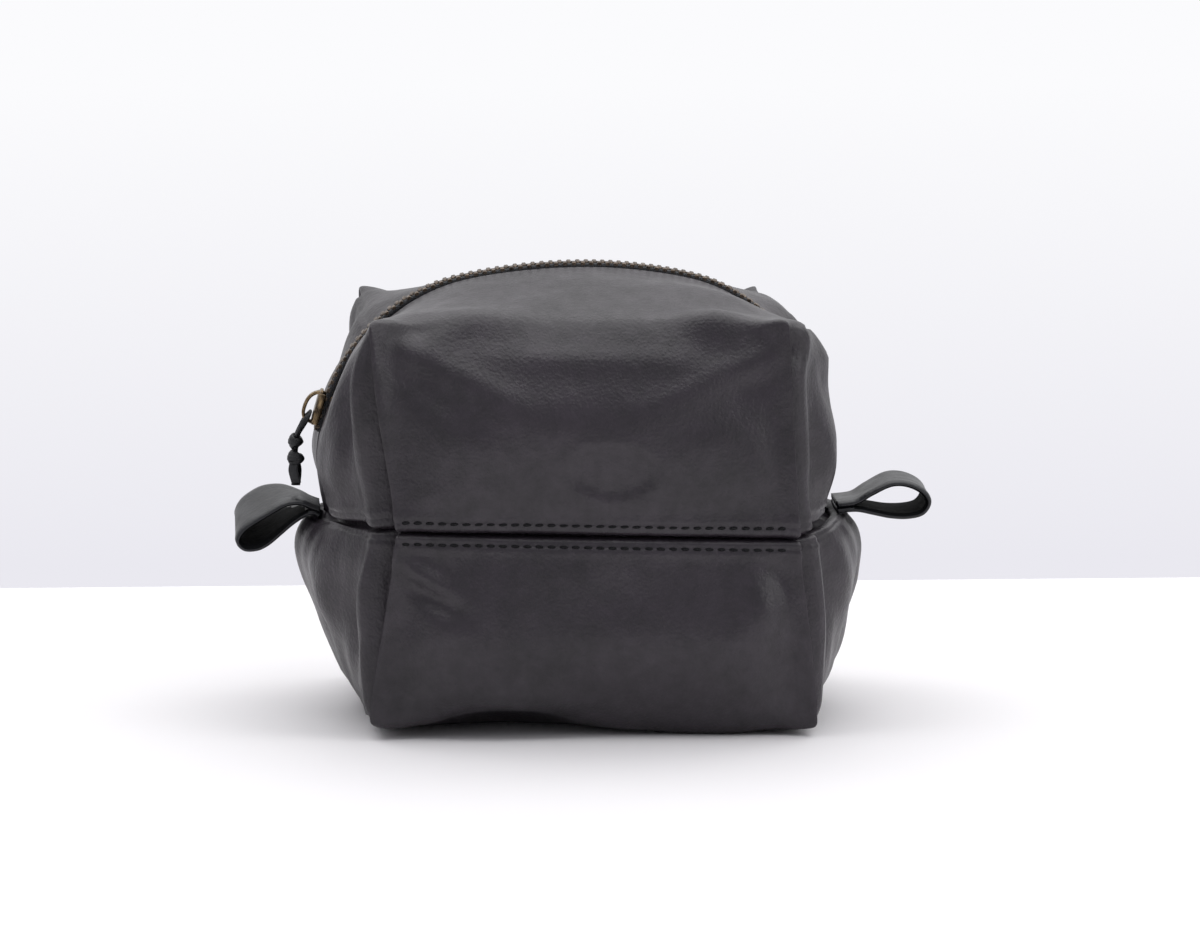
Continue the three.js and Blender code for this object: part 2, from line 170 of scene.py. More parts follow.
def skin_place(u, v, w):
    """The smooth skin, before seams and folds, at a place on the cube."""
    front = 1 if v < 0 else 0
    face = face_outline(u, w, front)
    inward = 1 - u ** 4
    if abs(v) >= 1:
        rolled = TOP_ROLL if w > 0 else BASE_ROLL
        bulge = (3.4 if w > 0 else 4.2) * (1 - u * u) * (1 - (2 * abs(w) - 1) ** 2)
        return Vector((face.x, math.copysign(HALF_DEPTH + bulge - rolled * inward * rise(w), v), face.y))
    middle = middle_outline(u, w)
    rolled = TOP_ROLL * inward if w >= 1 else BASE_ROLL * inward if w <= -1 else 0.0
    fall = abs(v) ** (1.6 if w >= 1 else 1.45)
    z = underside_z(u, v) if w <= -1 else lerp(middle.y, face.y, fall)
    # The end leather is fuller between the zip and the corners, most of all at the upper right
    if w <= 0:
        full = 0.0
    elif u < 0:
        full = 4.2 * bell(w - 0.28, 0.26)
    else:
        full = 6.2 * bell(w - 0.9, 0.2) + 2.0 * bell(w - 0.45, 0.3)
    puff = full * math.sin(math.pi * abs(v) ** 0.9) ** 1.3 * ramp(abs(u), 0.85, 1.0)
    return Vector((lerp(middle.x, face.x, fall) + math.copysign(puff, u), v * (HALF_DEPTH - rolled), z))


# Folds, dents and swellings, in millimetres: place, size along each axis, turn about y (degrees), how far out
FOLDS = (
    # front, upper: the soft swell and its shallow dents
    ((-30, -57, 84), (26, 20, 16), 0, 0.8), ((26, -57, 78), (30, 20, 18), 0, 0.7),
    ((0, -57, 98), (50, 20, 8), 3, -0.4), ((44, -57, 94), (9, 20, 20), 24, -0.9),
    ((-47, -57, 92), (7, 20, 22), -14, -1.0), ((-38, -55, 66), (14, 20, 7), 10, 0.6),
    # top corners, where the leather is pinched into the corner
    ((-49, -47, 112), (12, 6, 4), 20, -1.3), ((47, -46, 110), (11, 8, 6), -28, -1.4),
    ((38, -44, 112), (15, 5, 5), -16, 1.3), ((-36, -42, 113), (17, 6, 5), 14, 1.0),
    # the right end's upper wing: rounded rim with a dimple behind it and folds running down
    ((57, -49, 107.5), (3.4, 3.2, 4.5), 0, -2.6), ((62, -41, 110), (6, 6, 6), 8, 2.4),
    ((67, -26, 86), (6, 8, 22), 6, 1.5), ((63, -41, 80), (4, 5, 20), -4, -1.9),
    ((68, -30, 66), (5, 8, 14), 6, 2.2), ((66, -22, 66), (5, 6, 12), 10, -1.3),
    ((70, 14, 84), (5, 7, 20), 0, 1.2), ((65, 34, 76), (5, 6, 24), 0, -1.6),
    # the left end's upper wing
    ((-66, -26, 84), (4, 6, 24), -5, 1.5), ((-63, -38, 76), (4, 5, 22), 5, -1.7),
    ((-70, -14, 66), (5, 6, 13), -8, -1.2), ((-60, -44, 98), (5, 8, 12), -8, 1.2),
    ((-70, 16, 82), (5, 7, 20), 0, 1.2), ((-64, 36, 78), (5, 6, 24), 0, -1.6),
    # lower ends
    ((-74, -22, 36), (8, 8, 15), -18, 1.6), ((-68, -38, 26), (6, 6, 20), -14, -1.8),
    ((73, -24, 38), (8, 8, 15), 16, 1.7), ((68, -40, 28), (6, 6, 22), 12, -1.7),
    ((-72, 26, 32), (8, 8, 18), 0, -1.4), ((72, 26, 32), (8, 8, 18), 0, -1.4),
    # front, lower: a full cheek each side, a sag in the middle and the lifted fold near the base's left end
    ((-34, -58, 30), (22, 20, 14), -6, 0.9), ((34, -58, 26), (26, 20, 14), 5, 1.0),
    ((2, -58, 40), (22, 20, 9), 0, -0.6), ((-52, -57, 22), (5, 20, 18), 12, -1.3),
    ((52, -57, 20), (5, 20, 16), -8, -1.2), ((-24, -53, 2), (17, 14, 5), 0, -2.6),
    ((-24, -56, 12), (19, 14, 4), -4, 0.9), ((-46, -54, 3), (10, 10, 5), 0, 0.9),
    ((-46, -57, 45), (9, 20, 2.6), -36, 1.3), ((-43, -57, 39.5), (9, 20, 3), -30, -1.4),
    ((-50, -57, 35), (4, 20, 8), 12, -0.8), ((50, -57, 44), (5, 20, 6), 20, -0.8),
    ((46, -57, 36), (5, 20, 9), -14, 0.7),
    # draw lines that run in from the top corners
    ((33, -57, 99), (20, 20, 3.2), 24, 0.6), ((37, -57, 92), (18, 20, 4), 30, -0.5),
    ((-36, -57, 100), (18, 20, 3.4), -27, 0.6), ((-40, -57, 93), (16, 20, 4), -34, -0.5),
    ((0, -57, 104), (30, 20, 3), -2, 0.5),
    # back
    ((-20, 57, 82), (30, 20, 16), 6, 0.9), ((30, 57, 88), (22, 20, 16), 0, -0.8),
    ((0, 58, 28), (40, 20, 14), 0, 0.9), ((-40, 57, 36), (12, 20, 18), 8, -0.9),
    ((46, 46, 111), (10, 7, 5), -20, -1.8), ((-46, 46, 111), (10, 7, 5), 20, -1.8),
    # top, beside the zip
    ((-26, -22, 119), (26, 9, 7), 0, -0.8), ((24, -24, 119), (26, 9, 7), 0, 0.7),
    ((0, 26, 119), (34, 9, 7), 0, -0.7),
)

SEAM_ROLL = (0.3, 0.8, 1.4, 2.2, 3.1, 4.2, 6)  # rows of vertices beside each seam, millimetres from it
SEAM_DEPTH = 2.0
SEAM_LIP = 0.7
STITCH_UPPER = 3.0
STITCH_LOWER = 2.9
STITCH_CHANNEL = 0.45
LEATHER_SLOT = 5.6
CELLS = 68
FOLD_STRENGTH = 1.9
FOLD_REACH = 7


def seam_profile(distance):
    """Leather beside the sewn seam: drawn in at the seam and rolled out just beside it."""
    return SEAM_LIP * bell(distance - 3.2, 2.3) - SEAM_DEPTH * bell(distance, 0.55)


def fold_height(place):
    """How far all the folds together lift the leather at a place."""
    out = 0.0
    for centre, size, turn, height in FOLDS:
        away = place - Vector(centre)
        if turn:
            away = Matrix.Rotation(math.radians(turn), 3, "Y") @ away
        reach = (away.x / size[0]) ** 2 + (away.y / size[1]) ** 2 + (away.z / size[2]) ** 2
        if reach < FOLD_REACH:
            out += height * math.exp(-reach)
    return FOLD_STRENGTH * out


def pressed_oval(place):
    """A plain oval pressed into the middle of the front, with a soft rim."""
    if place.y >= -50:
        return 0.0
    reach = math.sqrt(((place.x - 5) / 12) ** 2 + ((place.z - 74) / 7) ** 2)
    return 0.3 * bell(reach - 1.15, 0.1) - 1.2 * (1 - ramp(reach, 0.88, 1.06))


def corner_seam(u, v, w):
    """The upright seams: the front leather rolls over a ridge, and the end leather dives in behind it."""
    if abs(w) >= 1:
        return 0.0
    fade = 1 - 0.6 * ramp(abs(w), 0.85, 1.0)
    if abs(v) >= 1:
        distance = (1 - abs(u)) * SEAM_HALF_WIDTH
        return fade * (0.6 * bell(distance, 1.8) - 0.7 * bell(distance - 5.5, 3.0))
    distance = (1 - abs(v)) * HALF_DEPTH
    if distance > 14:
        return 0.0
    deep = 5.2 if u < 0 else 4.6
    return fade * (0.6 * bell(distance, 1.0) - 2.8 * bell(distance - 1.9, 1.0)
                   - deep * bell(distance - 3.6, 2.4) + 1.8 * bell(distance - 9.5, 4))


def skin_detail(u, v, w, place):
    """How far seams, stitch channels, folds and soft unevenness move the surface out."""
    out = fold_height(place)
    out += corner_seam(u, v, w) + pressed_oval(place)
    if abs(w) < 1:
        below = -w * SEAM_Z
        out += seam_profile(abs(below))
        out -= STITCH_CHANNEL * (bell(below + STITCH_UPPER, 0.7) + bell(below - STITCH_LOWER, 0.7))
        pucker = bell(abs(below) - 3, 5) * (1 if abs(v) >= 1 else 0.6)
        out += 0.45 * pucker * noise.noise(Vector((place.x / 5.5, place.y / 5.5, place.z / 14)))
        if abs(u) >= 1:
            ripple = noise.noise(Vector((place.y / 8 + place.z / 30, u * 5, place.z / 24)))
            out += 1.5 * ripple * (1 - ramp(abs(v), 0.85, 1))
    edge = abs(v) * HALF_DEPTH - LEATHER_SLOT
    if w > 0 and abs(v) < 1 and edge < 8:
        out += 0.35 * bell(edge - 0.8, 1.4) - 0.25 * bell(edge - 3.4, 1.2)
    out += 1.1 * noise.noise(place / 34) + 0.42 * noise.noise(place / 13 + Vector((7, 3, 1)))
    if w > 0 and abs(v) < 1:
        y = abs(v) * HALF_DEPTH
        out *= ramp(y, 4, 16)
        out -= lerp(0.9, 1.9, ramp(abs(place.x), 25, 70)) * ramp(y, 2, 5.4) * (1 - ramp(y, 9, 26))
    return out


def build_skin():
    """The whole skin as one closed mesh in millimetres; each vertex keeps its place on the cube in a layer."""
    bm = bmesh.new()
    bmesh.ops.create_cube(bm, size=2)
    bmesh.ops.subdivide_edges(bm, edges=bm.edges[:], cuts=CELLS - 1, use_grid_fill=True)
    cuts = [(2, side * row / SEAM_Z) for row in SEAM_ROLL for side in (-1, 1)]
    cuts += [(2, STITCH_UPPER / SEAM_Z), (2, -STITCH_LOWER / SEAM_Z)]
    cuts += [(axis, side * (1 - row / HALF_DEPTH))
             for axis in (0, 1) for row in SEAM_ROLL[:6] for side in (-1, 1)]
    cuts += [(1, side * y / HALF_DEPTH) for y in (2, 3.7, LEATHER_SLOT, 6.4, 7.4, 9) for side in (-1, 1)]
    for axis, value in cuts:
        normal = Vector((0, 0, 0))
        normal[axis] = 1
        bmesh.ops.bisect_plane(bm, geom=bm.verts[:] + bm.edges[:] + bm.faces[:], dist=1e-5,
                               plane_co=normal * value, plane_no=normal)
    cube = bm.verts.layers.float_vector.new("cube")
    for vert in bm.verts:
        at = Vector([math.copysign(1, c) if abs(c) > 0.99999 else c for c in vert.co])
        vert[cube] = at
        vert.co = skin_place(*at)
    # The folds along the long top edges, the shoulders and the base are rounded; the seams stay where they are
    for limit, rounds, corner in ((0.80, 26, 0.93), (0.90, 20, 0.93), (0.84, 16, 2)):
        soft = []
        for vert in bm.verts:
            u, v, w = (abs(c) for c in vert[cube])
            near = sorted((u, v, w))[1]
            if vert[cube].z < 0 and w < 1 and vert[cube].z > -limit:
                continue
            if w > limit and near > limit and not (w < 1 and u > corner and v > corner):
                soft.append(vert)
        for _ in range(rounds):
            bmesh.ops.smooth_vert(bm, verts=soft, factor=0.5, use_axis_x=True, use_axis_y=True, use_axis_z=True)
    # Outward directions, eased round the corners so that folds and thickness never cross there
    bm.normal_update()
    calm = bm.verts.layers.float_vector.new("calm")
    out = bm.verts.layers.float_vector.new("out")
    for vert in bm.verts:
        vert[out] = vert.normal
    for _ in range(5):
        eased = [vert[out] * 1.5 + sum((e.other_vert(vert)[out] for e in vert.link_edges), Vector())
                 for vert in bm.verts]
        for vert, way in zip(bm.verts, eased):
            vert[out] = way.normalized()
    moves = [vert[out] * skin_detail(*vert[cube], vert.co) for vert in bm.verts]
    for vert, move in zip(bm.verts, moves):
        vert[calm] = vert.co
        vert.co += move
        vert.co.z = max(vert.co.z, LEAST_HEIGHT)
    bm.normal_update()
    return bm


SKIN = build_skin()


def scaled_object(name, bm, material, smooth=True):
    """Finish a mesh made in millimetres as an object in metres."""
    bmesh.ops.scale(bm, vec=(MM, MM, MM), verts=bm.verts[:])
    mesh = bpy.data.meshes.new(name)
    bm.to_mesh(mesh)
    bm.free()
    for face in mesh.polygons:
        face.use_smooth = smooth
    mesh.materials.append(material)
    obj = bpy.data.objects.new(name, mesh)
    bpy.context.scene.collection.objects.link(obj)
    return obj


BAG_MIDDLE = Vector((0, 0, 60))
CORNER_SLACK = 6  # a slack sheet lies this much deeper along the upright corners
THINNED = 0.7  # how much of a sheet's thickness is skived away at an upright corner


def near_corner(u, v, w):
    """1 on an upright corner seam, where leather is skived thin, down to 0 about 12 mm away."""
    if abs(w) >= 1:
        return bell(min(1 - abs(u), 1 - abs(v)) * HALF_DEPTH, 5)
    return bell(((1 - abs(u)) if abs(v) >= 1 else (1 - abs(v))) * HALF_DEPTH, 7)


def sheet_from_skin(keep, outer, thickness, rim=0.3, slack=False):
    """Part of the skin, outer millimetres below it, given a thickness inwards and a rounded rim.
    A slack sheet hangs behind the leather's folds instead of following them."""
    bm = SKIN.copy()
    cube = bm.verts.layers.float_vector["cube"]
    out = bm.verts.layers.float_vector["out"]
    calm = bm.verts.layers.float_vector["calm"]
    for vert in bm.verts:
        vert.co = (vert[calm] if slack else vert.co) - vert[out] * outer
        if slack:
            u, v, w = vert[cube]
            vert.co -= vert[out] * CORNER_SLACK * near_corner(u, v, w)
            vert.co = vert.co.lerp(BAG_MIDDLE, 0.16 * ramp(abs(u * v * w), 0.45, 1.0))
    lost = []
    for face in bm.faces:
        at = sum((v[cube] for v in face.verts), Vector()) / len(face.verts)
        if not keep(at.x, at.y, at.z):
            lost.append(face)
    bmesh.ops.delete(bm, geom=lost, context="FACES")
    border = [e for e in bm.edges if e.is_boundary]
    copy = bmesh.ops.duplicate(bm, geom=bm.faces[:])
    below = copy["vert_map"]
    for vert in [g for g in copy["geom"] if isinstance(g, bmesh.types.BMVert)]:
        vert.co -= vert[out] * thickness * (1 - THINNED * near_corner(*vert[cube]))
    for vert in {v for e in border for v in e.verts}:
        vert.co -= vert[out] * rim
    bmesh.ops.reverse_faces(bm, faces=[g for g in copy["geom"] if isinstance(g, bmesh.types.BMFace)])
    # The cut edge is a wall grown from the outer border down to its copy
    grown = bmesh.ops.extrude_edge_only(bm, edges=border)["geom"]
    wall = [g for g in grown if isinstance(g, bmesh.types.BMVert)]
    fresh = set(wall)
    for vert in wall:
        mate = next(e.other_vert(vert) for e in vert.link_edges if e.other_vert(vert) not in fresh)
        vert.co = below[mate].co
    bmesh.ops.remove_doubles(bm, verts=bm.verts[:], dist=1e-4)
    bm.normal_update()
    return bm


# ---- Materials. Colours are sRGB hex values, turned to linear here


def colour(text):
    channels = [int(text[i:i + 2], 16) / 255 for i in (1, 3, 5)]
    return tuple(c / 12.92 if c <= 0.04045 else ((c + 0.055) / 1.055) ** 2.4 for c in channels) + (1.0,)


def add_node(material, kind, links=(), stops=(), **settings):
    """Add a node with its links, a ramp's stops (place, colour), and its settings: its properties, or its input
    sockets by name with spaces as underscores, or by number after one underscore."""
    tree = material.node_tree
    node = tree.nodes.new(kind)
    for key, value in settings.items():
        if hasattr(node, key):
            setattr(node, key, value)
        else:
            node.inputs[int(key[1:]) if key[1:].isdigit() else key.replace("_", " ")].default_value = value
    for i, (place, shade) in enumerate(stops):
        node.color_ramp.elements[i].color = colour(shade)
        node.color_ramp.elements[i].position = place
    for source, socket in links:
        tree.links.new(source, node.inputs[socket])
    return node


def new_material(name, **surface):
    """A material whose values that don't vary are set on the surface shader's own sockets."""
    material = bpy.data.materials.new(name)
    material.use_nodes = True
    for key, value in surface.items():
        material.node_tree.nodes["Principled BSDF"].inputs[key.replace("_", " ")].default_value = value
    return material


def wire(material, node="Principled BSDF", **sources):
    """Link outputs to the sockets of a node that the material came with."""
    for key, source in sources.items():
        material.node_tree.links.new(source, material.node_tree.nodes[node].inputs[key.replace("_", " ")])


def per_metre(spacing_mm):
    """A noise or cell pattern's scale, from the real size of its features."""
    return 1000 / spacing_mm


def bands_per_metre(spacing_mm):
    """A wave pattern's scale, from the real distance between its bands."""
    return 2 * math.pi * per_metre(spacing_mm) / 20


MOTTLE_MM = 5.0
DRAW_LINE_MM = 3.2
DRAW_LINE_DEPTH_MM = 0.22
GLOSS_SWING = 0.06
MARK_DEPTH_MM = 0.04
PLY_MM = 0.45
PLY_DEPTH_MM = 0.12


def leather(name, dark, light, roughness, grain_mm, grain_depth_mm, patches_mm=45, specular=0.5):
    """Drum-dyed leather: tumbled to a fine pebble, with a waxy satin film that greys where it is handled."""
    material = new_material(name, IOR=1.5, Specular_IOR_Level=specular)
    place = add_node(material, "ShaderNodeTexCoord").outputs["Object"]
    patches = add_node(material, "ShaderNodeTexNoise", [(place, "Vector")], Scale=per_metre(patches_mm),
                       Detail=5.0, Roughness=0.6).outputs["Fac"]
    mottle = add_node(material, "ShaderNodeTexNoise", [(place, "Vector")], Scale=per_metre(MOTTLE_MM),
                      Detail=4.0, Roughness=0.65).outputs["Fac"]
    mixed = add_node(material, "ShaderNodeMath", [(patches, 0), (mottle, 1)], operation="ADD").outputs[0]
    half = add_node(material, "ShaderNodeMath", [(mixed, 0)], operation="MULTIPLY", _1=0.5).outputs[0]
    tint = add_node(material, "ShaderNodeValToRGB", [(half, "Fac")], [(0.36, dark), (0.66, light)])
    # Pebbles are cells between fine creases, and pores are much smaller pits
    warp = add_node(material, "ShaderNodeTexNoise", [(place, "Vector")], Scale=per_metre(grain_mm * 2.4),
                    Detail=2.0)
    bent = add_node(material, "ShaderNodeVectorMath", [(warp.outputs["Color"], 0)], operation="SCALE",
                    Scale=grain_mm * MM * 1.1)
    moved = add_node(material, "ShaderNodeVectorMath", [(place, 0), (bent.outputs[0], 1)], operation="ADD")
    cells = add_node(material, "ShaderNodeTexVoronoi", [(moved.outputs[0], "Vector")], feature="SMOOTH_F1",
                     Scale=per_metre(grain_mm), Smoothness=0.7).outputs["Distance"]
    pores = add_node(material, "ShaderNodeTexNoise", [(place, "Vector")], Scale=per_metre(grain_mm * 0.45),
                     Detail=3.0, Roughness=0.7).outputs["Fac"]
    low_cells = add_node(material, "ShaderNodeMath", [(cells, 0)], operation="MULTIPLY", _1=-1.0).outputs[0]
    height = add_node(material, "ShaderNodeMath", [(pores, 0), (low_cells, 2)], operation="MULTIPLY_ADD",
                      _1=0.55).outputs[0]
    bump = add_node(material, "ShaderNodeBump", [(height, "Height")], Strength=1.0,
                    Distance=grain_depth_mm * MM)
    # Fine draw lines, a few millimetres apart, where the hide was stretched over the box
    lines = add_node(material, "ShaderNodeMapping", [(place, "Vector")], Rotation=(0.2, 0.1, 0.5),
                     Scale=(1, 1, 0.4))
    creases = add_node(material, "ShaderNodeTexNoise", [(lines.outputs[0], "Vector")],
                       Scale=per_metre(DRAW_LINE_MM), Detail=4.0, Roughness=0.6).outputs["Fac"]
    wrinkle = add_node(material, "ShaderNodeBump", [(creases, "Height"), (bump.outputs[0], "Normal")],
                       Strength=1.0, Distance=DRAW_LINE_DEPTH_MM * MM)
    gloss = add_node(material, "ShaderNodeMapRange", [(half, "Value")], From_Min=0.35, From_Max=0.65,
                     To_Min=roughness + GLOSS_SWING, To_Max=roughness - GLOSS_SWING).outputs[0]
    wire(material, Base_Color=tint.outputs["Color"], Roughness=gloss, Normal=wrinkle.outputs[0])
    return material


def woven(name, dark, light, threads_mm, roughness, depth_mm):
    """Plain-woven cloth: two crossing sets of threads, over and under."""
    material = new_material(name, Roughness=roughness, IOR=1.45, Sheen_Weight=0.25, Sheen_Roughness=0.5)
    place = add_node(material, "ShaderNodeTexCoord").outputs["Object"]
    warp, weft = (add_node(material, "ShaderNodeTexWave", [(place, "Vector")], wave_type="BANDS",
                           bands_direction=direction, wave_profile="SIN", Scale=bands_per_metre(threads_mm),
                           Distortion=0.4, Detail=1.0).outputs["Fac"] for direction in ("X", "Z"))
    weave = add_node(material, "ShaderNodeMath", [(warp, 0), (weft, 1)], operation="MULTIPLY").outputs[0]
    bump = add_node(material, "ShaderNodeBump", [(weave, "Height")], Strength=1.0, Distance=depth_mm * MM)
    tint = add_node(material, "ShaderNodeValToRGB", [(weave, "Fac")], [(0.1, dark), (0.8, light)])
    wire(material, Base_Color=tint.outputs["Color"], Normal=bump.outputs[0])
    return material


def antique_metal(name, dark, light, roughness, wear_mm=1.6):
    """Brass darkened in a bath and rubbed back: brown in the hollows, warmer and brighter where it is worn."""
    material = new_material(name, Metallic=1.0)
    place = add_node(material, "ShaderNodeTexCoord").outputs["Object"]
    stain = add_node(material, "ShaderNodeTexNoise", [(place, "Vector")], Scale=per_metre(wear_mm), Detail=6.0,
                     Roughness=0.7).outputs["Fac"]
    dull = add_node(material, "ShaderNodeMapRange", [(stain, "Value")], From_Min=0.3, From_Max=0.7,
                    To_Min=roughness + 0.12, To_Max=roughness - 0.1).outputs[0]
    marks = add_node(material, "ShaderNodeBump", [(stain, "Height")], Strength=1.0, Distance=MARK_DEPTH_MM * MM)
    tint = add_node(material, "ShaderNodeValToRGB", [(stain, "Fac")], [(0.35, dark), (0.65, light)])
    wire(material, Base_Color=tint.outputs["Color"], Roughness=dull, Normal=marks.outputs[0])
    return material


def twisted_thread(name, dark, light):
    """Bonded polyester thread: tight slanting strands with a slight shine."""
    material = new_material(name, Roughness=0.6, IOR=1.5, Specular_IOR_Level=0.25)
    place = add_node(material, "ShaderNodeTexCoord").outputs["Object"]
    turned = add_node(material, "ShaderNodeMapping", [(place, "Vector")], Rotation=(0, 0.7, 0))
    ply = add_node(material, "ShaderNodeTexWave", [(turned.outputs[0], "Vector")], bands_direction="X",
                   Scale=bands_per_metre(PLY_MM)).outputs["Fac"]
    bump = add_node(material, "ShaderNodeBump", [(ply, "Height")], Strength=1.0, Distance=PLY_DEPTH_MM * MM)
    tint = add_node(material, "ShaderNodeValToRGB", [(ply, "Fac")], [(0.1, dark), (0.9, light)])
    wire(material, Base_Color=tint.outputs["Color"], Normal=bump.outputs[0])
    return material


NAPPA = leather("black_nappa_leather", "#1a161b", "#302a31", 0.41, 0.9, 0.1)
STRAP = leather("waxed_strap_leather", "#0d0e12", "#16181e", 0.42, 0.7, 0.06, patches_mm=20)
FLESH = leather("strap_flesh_side", "#040507", "#0a0b0e", 0.8, 0.5, 0.09, patches_mm=12, specular=0.12)
THONG = leather("soft_thong_leather", "#0f1013", "#1c1c20", 0.55, 0.6, 0.05, patches_mm=8)
LINING = woven("black_cotton_lining", "#141417", "#26262b", 0.55, 0.85, 0.12)
TAPE = woven("polyester_zip_tape", "#0f1014", "#202128", 0.5, 0.75, 0.15)
THREAD = twisted_thread("bonded_black_thread", "#030305", "#0b0b0f")
TEETH_METAL = antique_metal("antique_brass_teeth", "#39332e", "#7b6d60", 0.46)
SLIDER_METAL = antique_metal("antique_brass_slider", "#3b3128", "#9a8464", 0.34, 2.5)


# ---- Leather panels, lining and zip tapes, all cut from the one skin

LEATHER_THICK = 1.6
LINING_BELOW = 5.5
LINING_THICK = 0.5
LINING_EDGE = 7.4  # cut edges and tapes, in millimetres from the middle of the zip
TAPE_BELOW = 1.75
TAPE_THICK = 0.6
TAPE_INNER = 3.6
TAPE_OUTER = 9


def settle(obj, node):
    """Stand an object in for its CAD node."""
    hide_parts(node)
    return obj


def open_with_zip(obj):
    """Bake an object's place into its mesh."""
    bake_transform(obj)


for sign, word in ((-1, "front"), (1, "back")):
    panel = sheet_from_skin(lambda u, v, w: w > 0 and sign * v * HALF_DEPTH > LEATHER_SLOT, 0, LEATHER_THICK)
    panel = scaled_object(word + "_upper_leather", panel, NAPPA)
    open_with_zip(settle(panel, word + "_upper_panel"))
    inside = sheet_from_skin(lambda u, v, w: sign * v * HALF_DEPTH > LINING_EDGE, LINING_BELOW, LINING_THICK,
                             rim=0, slack=True)
    open_with_zip(settle(scaled_object(word + "_lining", inside, LINING), "lining_" + word))
    tape = sheet_from_skin(
        lambda u, v, w: w > -0.05 and TAPE_INNER < sign * v * HALF_DEPTH < TAPE_OUTER and (w > 0 or abs(u) < 1),
        TAPE_BELOW, TAPE_THICK, rim=0)
    open_with_zip(settle(scaled_object(word + "_zip_tape", tape, TAPE), "zip_tape_" + word))

base = sheet_from_skin(lambda u, v, w: w < 0, 0, LEATHER_THICK)
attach(settle(scaled_object("base_leather", base, NAPPA), "bottom_panel"), "bag")


# ---- Places on the skin, for things sewn to it

SKIN_TREE = BVHTree.FromBMesh(SKIN)


def on_skin(start, direction):
    """(point, outward normal) where a line from outside meets the skin."""
    point, normal, _, _ = SKIN_TREE.ray_cast(Vector(start), Vector(direction))
    return point, normal


# ---- Sweeps: an outline carried along a line

def sweep(bm, outline, frames, closed=False):
    """Carry an outline (points across and out) through frames (place, across, out).
    The ends are filled, or joined when the sweep is closed."""
    first = [bm.verts.new(place_in(frames[0], p)) for p in outline]
    loop = [bm.edges.new((a, b)) for a, b in zip(first, first[1:] + first[:1])]
    start = list(loop)
    verts = first
    for frame_at in frames[1:]:
        grown = bmesh.ops.extrude_edge_only(bm, edges=loop)["geom"]
        fresh = [g for g in grown if isinstance(g, bmesh.types.BMVert)]
        partner = {}
        for vert in verts:
            partner[vert] = next(e.other_vert(vert) for e in vert.link_edges if e.other_vert(vert) in fresh)
        verts = [partner[vert] for vert in verts]
        loop = [g for g in grown if isinstance(g, bmesh.types.BMEdge) and all(v in fresh for v in g.verts)]
        for vert, p in zip(verts, outline):
            vert.co = place_in(frame_at, p)
    if closed:
        bmesh.ops.bridge_loops(bm, edges=start + loop)
    else:
        for rim in (first, verts):
            bmesh.ops.contextual_create(bm, geom=rim)


def place_in(frame_at, p):
    """Where a point of an outline is in a frame."""
    place, across, out = frame_at
    return place + across * p[0] + out * p[1]


def rounded_outline(width, thickness, corner_steps=3, corner=None):
    """A rounded rectangle as points round it."""
    corner = min(width, thickness) / 2 if corner is None else corner
    points = []
    for cx, cy, start in ((1, 1, 0), (-1, 1, 90), (-1, -1, 180), (1, -1, 270)):
        for k in range(corner_steps + 1):
            angle = math.radians(start + 90 * k / corner_steps)
            points.append((cx * (width / 2 - corner) + corner * math.cos(angle),
                           cy * (thickness / 2 - corner) + corner * math.sin(angle)))
    kept = []
    for p in points:
        if not kept or (abs(p[0] - kept[-1][0]) + abs(p[1] - kept[-1][1]) > 1e-6):
            kept.append(p)
    return kept


def smooth_line(points, steps):
    return [along(points, k / steps) for k in range(steps + 1)]


def frames_along(line, across):
    """Frames for a sweep along a line, with a fixed direction across it."""
    frames = []
    for i, place in enumerate(line):
        tangent = (line[min(i + 1, len(line) - 1)] - line[max(i - 1, 0)]).normalized()
        side = (across - tangent * across.dot(tangent)).normalized()
        frames.append((place, side, tangent.cross(side)))
    return frames


# ---- Stitches: short threads that dip into the leather at both ends

STITCH_PITCH = 3.3
STITCH_LENGTH = 2.6
STITCH_RADIUS = 0.42
STITCH_HALF_ROW = 53
STITCH_CLEAR = 0.12
THREAD_SLANT = 0.06  # each thread rises or falls this much of its length
THREAD_ROUND = [(STITCH_RADIUS * math.cos(math.radians(a)), STITCH_RADIUS * math.sin(math.radians(a)))
                for a in range(0, 360, 60)]


def add_stitch(bm, place, run, out):
    """One thread: a round bar that thins and dips into the leather at both ends."""
    across = out.cross(run).normalized()
    frames = []
    for t in (-1, -0.75, -0.3, 0.3, 0.75, 1):
        taper = 1 - 0.5 * t ** 4
        dip = -1.3 * STITCH_RADIUS * abs(t) ** 3
        frames.append((place + run * (t * STITCH_LENGTH / 2) + out * dip, across * taper, out * taper))
    sweep(bm, THREAD_ROUND, frames)


def stitch_row(name, node, v, height_from_seam):
    """A row of stitches on the front (v -1) or the back (v 1), beside the long seam."""
    bm = bmesh.new()
    count = int(2 * STITCH_HALF_ROW / STITCH_PITCH)
    for i in range(count):
        x = (i - (count - 1) / 2) * STITCH_PITCH
        seam = SEAM_Z - (SEAM_TILT * x / SEAM_HALF_WIDTH if v < 0 else 0)
        point, normal = on_skin((x, v * 90, seam + height_from_seam), (0, -v, 0))
        run = Vector((0.998, 0, math.copysign(THREAD_SLANT, height_from_seam))).normalized()
        run = (run - normal * run.dot(normal)).normalized()
        add_stitch(bm, point + normal * STITCH_CLEAR, run, normal)
    bmesh.ops.recalc_face_normals(bm, faces=bm.faces[:])
    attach(settle(scaled_object(name, bm, THREAD), node), "bag")


for v, word in ((-1, "front"), (1, "back")):
    stitch_row(word + "_upper_stitches", word + "_stitch_upper", v, STITCH_UPPER)
    stitch_row(word + "_lower_stitches", word + "_stitch_lower", v, -STITCH_LOWER)


# ---- The zip: interlocking teeth on a corded tape edge, with stops

